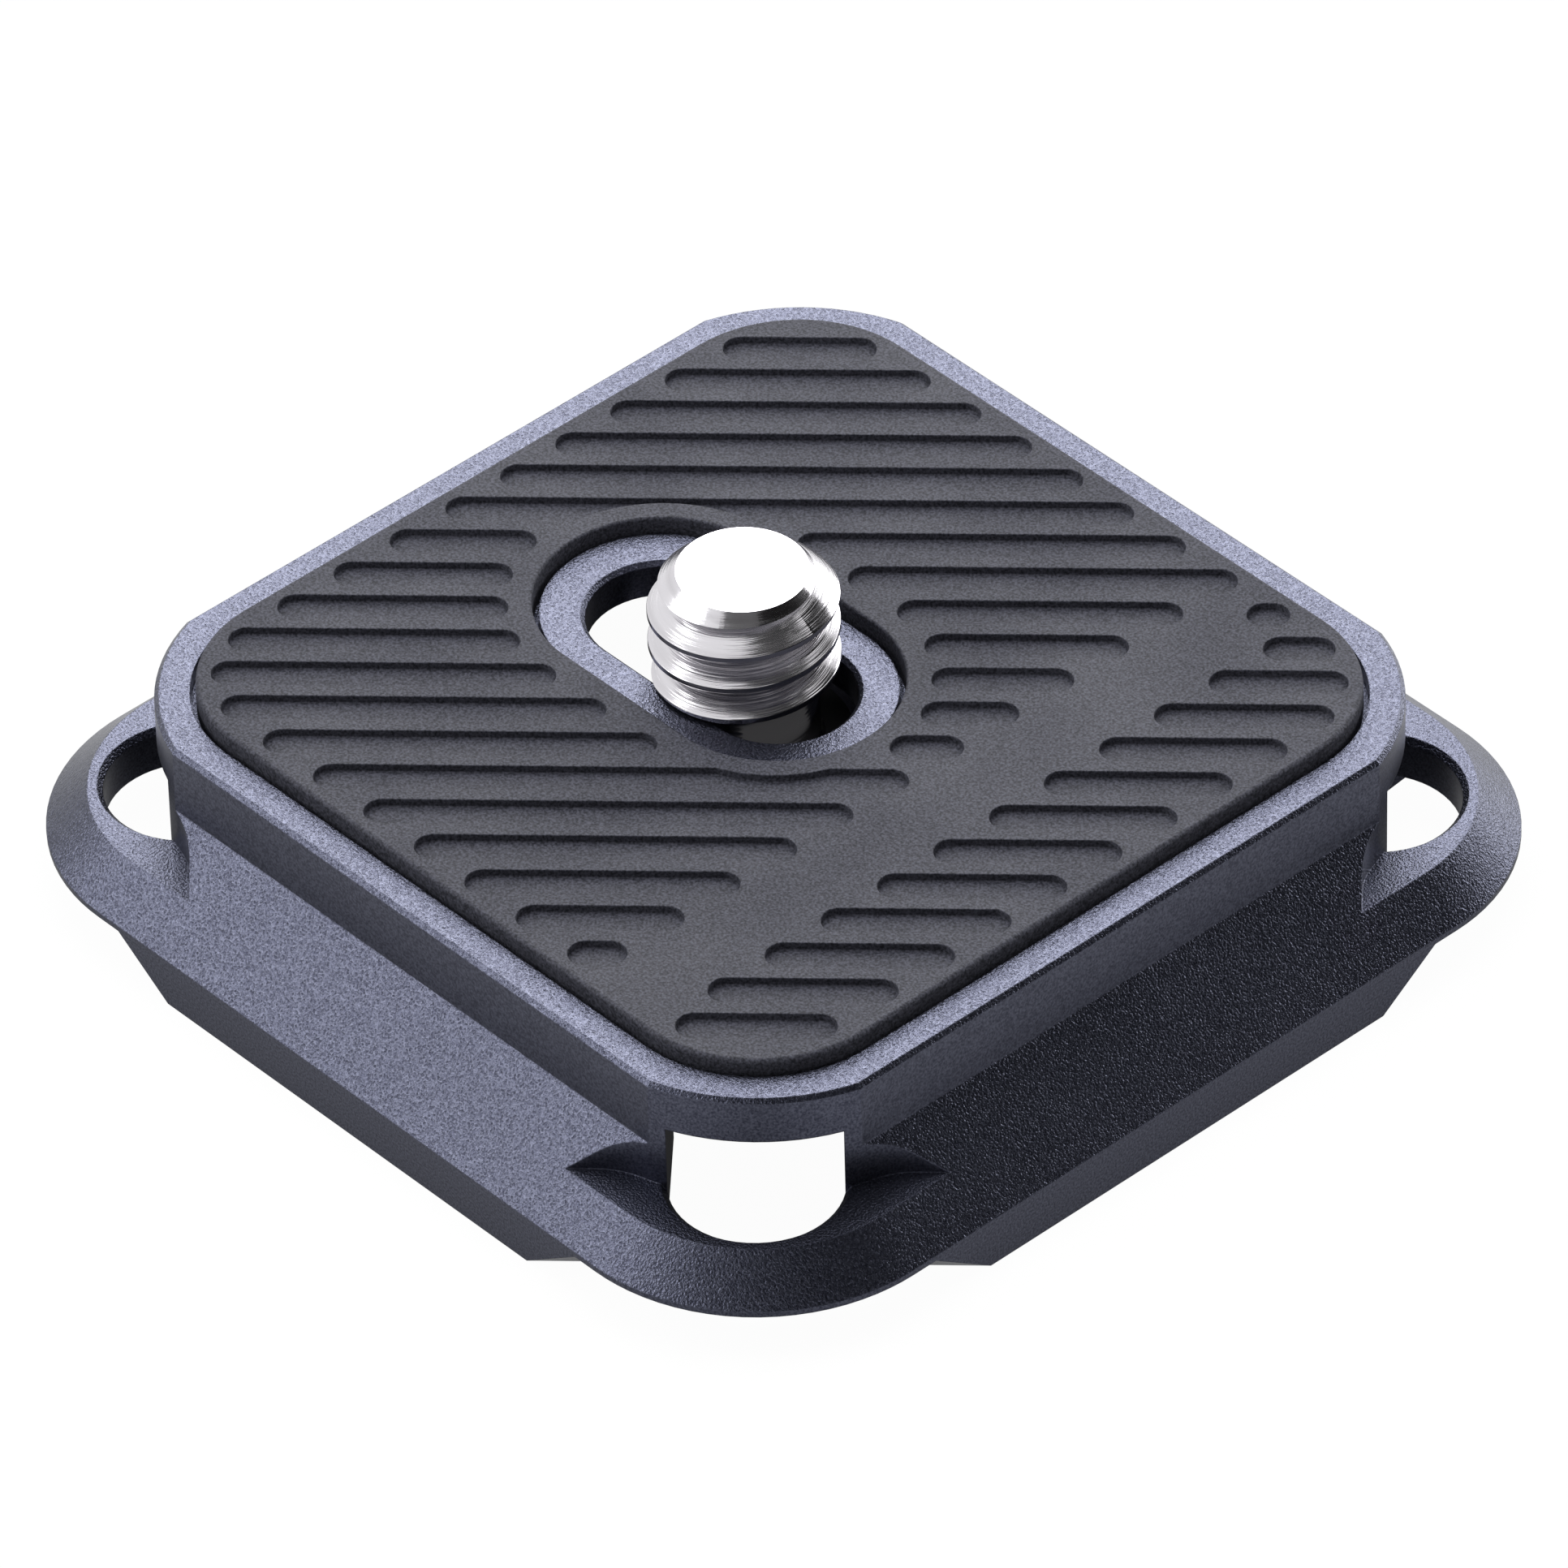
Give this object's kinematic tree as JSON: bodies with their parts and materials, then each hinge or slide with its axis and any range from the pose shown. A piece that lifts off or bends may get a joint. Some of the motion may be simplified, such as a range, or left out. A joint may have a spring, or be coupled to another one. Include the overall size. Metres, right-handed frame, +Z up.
{
  "type": "quick release plate",
  "caption": "Square quick release plate for a camera: 45 degree dovetail base with strap eyelets at the corners, ribbed rubber pad and a captive camera screw in a slot.",
  "frame": {"origin": "middle of the square plate on its flat sole", "axes": "+X along the screw slot towards its near end, +Y across the slot, +Z up through the camera screw"},
  "size_m": [0.038, 0.038, 0.0114],
  "materials": {
    "anodised": "blasted and anodised dark blue-grey",
    "rubber": "matte",
    "steel": "turned, fine concentric marks",
    "washer": "matte black"
  },
  "bodies": {
    "plate": {"plate_body": "anodised", "rubber_pad": "rubber"},
    "carriage": {"screw_washer": "washer"},
    "screw": {"camera_screw": "steel"}
  },
  "joints": [
    {"name": "screw_slide", "type": "slide", "parent": "plate", "child": "carriage", "axis": [1, 0, 0], "range_m": [-0.00393, 0.00165]},
    {"name": "screw_turn", "type": "hinge", "parent": "carriage", "child": "screw", "pos_m": [-0.0016, 0, 0.0045], "axis": [0, 0, 1], "continuous": true}
  ]
}
